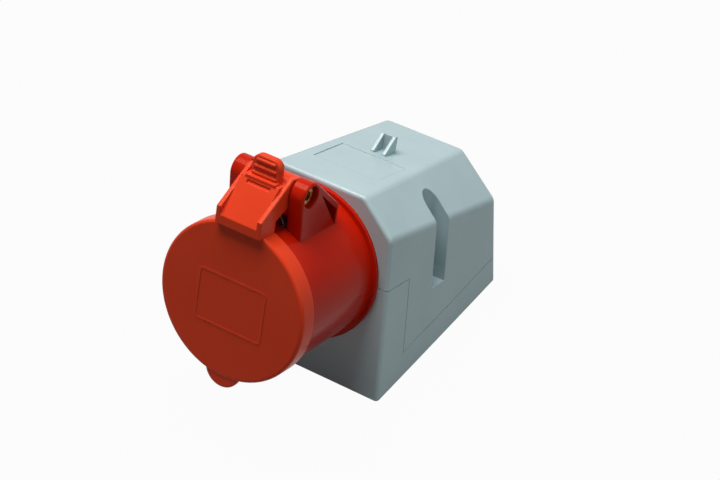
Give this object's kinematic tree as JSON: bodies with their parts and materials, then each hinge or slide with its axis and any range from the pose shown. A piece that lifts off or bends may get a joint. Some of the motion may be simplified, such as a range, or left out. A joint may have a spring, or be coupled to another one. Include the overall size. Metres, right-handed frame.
{
  "type": "industrial wall socket",
  "caption": "Surface mounted industrial wall socket: slanted grey housing, red barrel with recessed pin contacts and a spring loaded hinged lid with a thumb grip.",
  "frame": {"origin": "middle of the four wall screws on the wall face, which lies flat at Z = 0", "axes": "+Z away from the wall, the socket's mouth faces -Y and is raised by 15.2 degrees, X across the socket"},
  "size_m": [0.0942, 0.1682, 0.1263],
  "materials": {
    "housing": "satin light grey",
    "red_body": "satin red",
    "red_lid": "satin red with a fine grain on the face",
    "insulator": "matte black",
    "brass": "turned",
    "steel": "zinc plated",
    "seal": "soft black",
    "rubber": "dark grey moulded"
  },
  "bodies": {
    "socket": {"base": "housing", "cover": "housing", "housing_seal": "seal", "cover_screws": "steel", "cover_washers": "seal", "wall_seals": "seal", "entry_grommet": "rubber", "socket_barrel": "red_body", "barrel_gasket": "seal", "contact_carrier": "insulator", "terminal_block": "insulator", "carrier_retainer": "insulator", "retainer_screw": "steel", "terminal_screws": "steel", "hinge_pin": "brass", "torsion_spring": "steel", "contact_l1": "brass", "contact_l2": "brass", "contact_l3": "brass", "contact_n": "brass", "contact_pe": "brass"},
    "lid": {"lid": "red_lid", "lid_gasket": "seal"}
  },
  "joints": [
    {"name": "lid_hinge", "type": "hinge", "parent": "socket", "child": "lid", "pos_m": [0, -0.05925, 0.11035], "axis": [-1, 0, 0], "range_deg": [0, 110], "stiffness_Nm_per_rad": 0.1, "springref_deg": -57.3, "deforming": ["torsion_spring"]}
  ]
}
